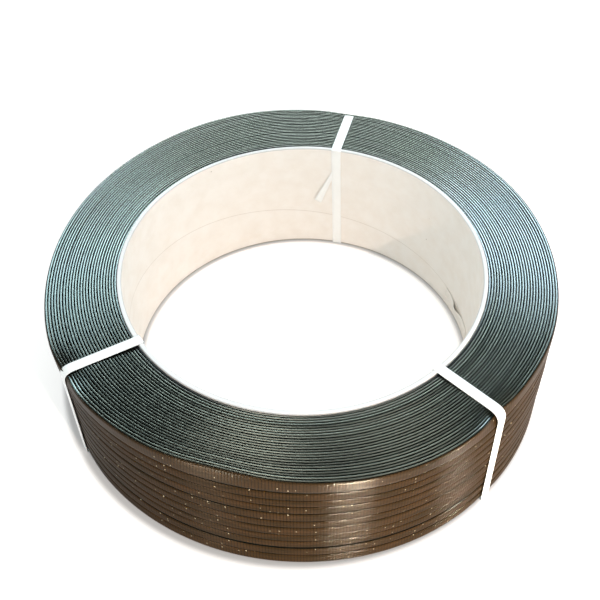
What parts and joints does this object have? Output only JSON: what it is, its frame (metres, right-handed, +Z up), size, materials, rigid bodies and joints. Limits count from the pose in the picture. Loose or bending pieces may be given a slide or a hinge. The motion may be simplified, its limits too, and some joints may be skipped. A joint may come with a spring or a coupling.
{
  "type": "strapping coil",
  "caption": "Coil of dark embossed plastic strapping wound in flat turns on a wide paperboard core and held by flat white ties, ready to drop on a dispenser mandrel.",
  "frame": {"origin": "on the floor at the coil's axis, level with the undersides of the ties", "axes": "+Z up along the bore's axis; +X to the right and -Y towards the camera of the picture"},
  "size_m": [0.5719, 0.572, 0.1612],
  "materials": {
    "core_board": "white lined paperboard, matt",
    "strap_plastic": "embossed dark bronze-black polypropylene, satin",
    "tie_plastic": "white strap, satin"
  },
  "bodies": {
    "root": {"core": "core_board", "strap_winding": "strap_plastic", "tie_back": "tie_plastic", "tie_left": "tie_plastic", "tie_right": "tie_plastic"}
  },
  "joints": []
}
